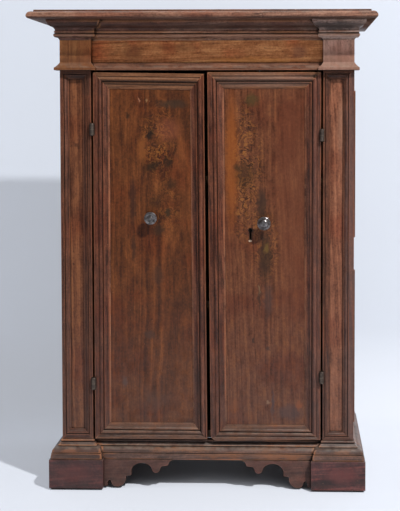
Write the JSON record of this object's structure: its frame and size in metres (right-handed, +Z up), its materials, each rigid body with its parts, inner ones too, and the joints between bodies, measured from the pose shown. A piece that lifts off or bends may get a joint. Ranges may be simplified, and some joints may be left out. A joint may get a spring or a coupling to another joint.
{
  "type": "two-door wooden cupboard",
  "caption": "Walnut cupboard with an architectural front: pilasters on plinth blocks, moulded cornice, framed plank doors on lift-off hinges, shelves inside, scroll-cut brackets.",
  "frame": {"origin": "centre of the whole cupboard's outline in plan, at floor level", "axes": "+X to the right as seen from the front, -Y towards the front of the doors, +Z up"},
  "size_m": [0.835, 0.46, 1.1665],
  "materials": {
    "walnut": "waxed, worn",
    "softwood": "bare, aged",
    "iron": "dark, rubbed"
  },
  "bodies": {
    "case": {"apron_bracket_left": "walnut", "apron_bracket_right": "walnut", "architrave_moulding": "walnut", "back_board_left": "softwood", "back_board_middle": "softwood", "back_board_right": "softwood", "base_block_left": "walnut", "base_block_right": "walnut", "base_moulding_centre": "walnut", "base_side_left": "walnut", "base_side_right": "walnut", "bottom_board": "softwood", "carcass_top": "softwood", "cornice_bed_centre": "walnut", "cornice_bed_left": "walnut", "cornice_bed_right": "walnut", "cornice_board": "walnut", "frieze_block_left": "walnut", "frieze_block_right": "walnut", "frieze_board": "walnut", "hinge_pins_left": "iron", "hinge_pins_right": "iron", "lower_shelf": "softwood", "pilaster_left": "walnut", "pilaster_left_rails": "walnut", "pilaster_left_uprights": "walnut", "pilaster_right": "walnut", "pilaster_right_rails": "walnut", "pilaster_right_uprights": "walnut", "plinth_block_left": "walnut", "plinth_block_right": "walnut", "plinth_side_left": "walnut", "plinth_side_right": "walnut", "shelf_cleats": "softwood", "side_board_left": "walnut", "side_board_right": "walnut", "side_frame_left_rails": "walnut", "side_frame_left_uprights": "walnut", "side_frame_right_rails": "walnut", "side_frame_right_uprights": "walnut", "upper_shelf": "softwood"},
    "left_door": {"left_door_board": "walnut", "left_door_uprights": "walnut", "left_door_rails": "walnut", "left_door_ledges": "softwood", "left_knob": "iron", "left_knob_nut": "iron", "left_hinge_eyes": "iron", "door_staples": "iron"},
    "right_door": {"right_door_board": "walnut", "right_door_uprights": "walnut", "right_door_rails": "walnut", "right_door_ledges": "softwood", "right_knob": "iron", "right_knob_nut": "iron", "right_hinge_eyes": "iron", "lock_case": "iron", "lock_spring": "iron"},
    "lock_bolt": {"lock_bolt": "iron"},
    "top_bolt": {"top_bolt": "iron"}
  },
  "joints": [
    {"name": "left_door_hinge", "type": "hinge", "parent": "case", "child": "left_door", "pos_m": [-0.272, -0.172, 0.5685], "axis": [0, 0, -1], "range_deg": [0, 165]},
    {"name": "right_door_hinge", "type": "hinge", "parent": "case", "child": "right_door", "pos_m": [0.287, -0.172, 0.5705], "axis": [0, 0, 1], "range_deg": [0, 165]},
    {"name": "lock_bolt_slide", "type": "slide", "parent": "right_door", "child": "lock_bolt", "axis": [-1, 0, 0], "range_m": [0, 0.02]},
    {"name": "top_bolt_slide", "type": "slide", "parent": "left_door", "child": "top_bolt", "axis": [0, 0, 1], "range_m": [0, 0.022]}
  ]
}
